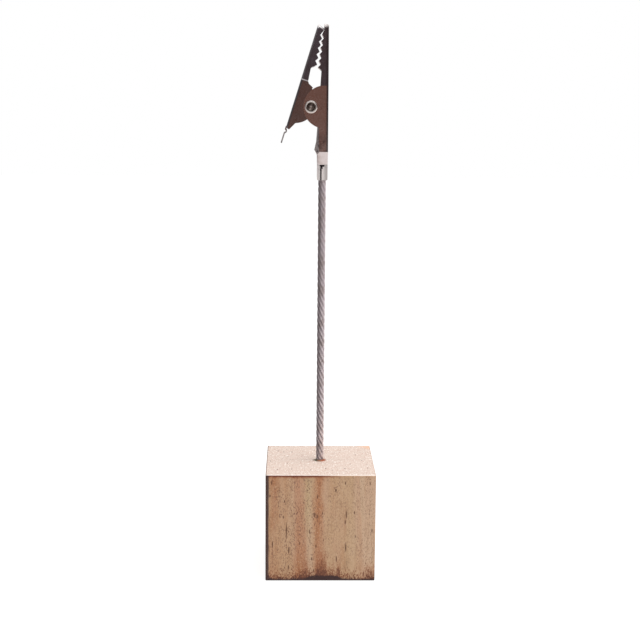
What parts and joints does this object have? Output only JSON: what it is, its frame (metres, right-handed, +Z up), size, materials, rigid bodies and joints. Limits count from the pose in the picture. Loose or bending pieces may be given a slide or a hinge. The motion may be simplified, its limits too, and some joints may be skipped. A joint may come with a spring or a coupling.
{
  "type": "table card holder",
  "caption": "Table card holder: a small wooden cube base, an upright stranded steel wire stem, and a toothed alligator clip crimped on top of the stem.",
  "frame": {"origin": "centre of the wooden cube's underside, where the holder stands on a table", "axes": "+Z up along the stem; +X towards the upright fixed jaw's back; -Y towards the viewer of the clip's profile"},
  "size_m": [0.025, 0.025, 0.125],
  "materials": {
    "wood": "sawn light hardwood with a faint grain and small dark pores",
    "glue": "dried amber wood glue",
    "wire": "bright drawn steel wire",
    "clip": "bright nickel-plated stamped sheet",
    "spring": "plain spring wire",
    "rivet": "bright nickel plating"
  },
  "bodies": {
    "stand": {"wooden_block": "wood", "stem_glue": "glue", "stem_core_strand": "wire", "stem_strand_1": "wire", "stem_strand_2": "wire", "stem_strand_3": "wire", "stem_strand_4": "wire", "stem_strand_5": "wire", "stem_strand_6": "wire", "fixed_jaw": "clip", "jaw_spring": "spring", "pivot_rivet": "rivet"},
    "lever": {"moving_jaw": "clip"}
  },
  "joints": [
    {"name": "jaw_pivot", "type": "hinge", "parent": "stand", "child": "lever", "pos_m": [-0.00266, 0, 0.1069], "axis": [0, -1, 0], "range_deg": [0, 40], "stiffness_Nm_per_rad": 0.03, "springref_deg": -57.3, "deforming": ["jaw_spring"]}
  ]
}
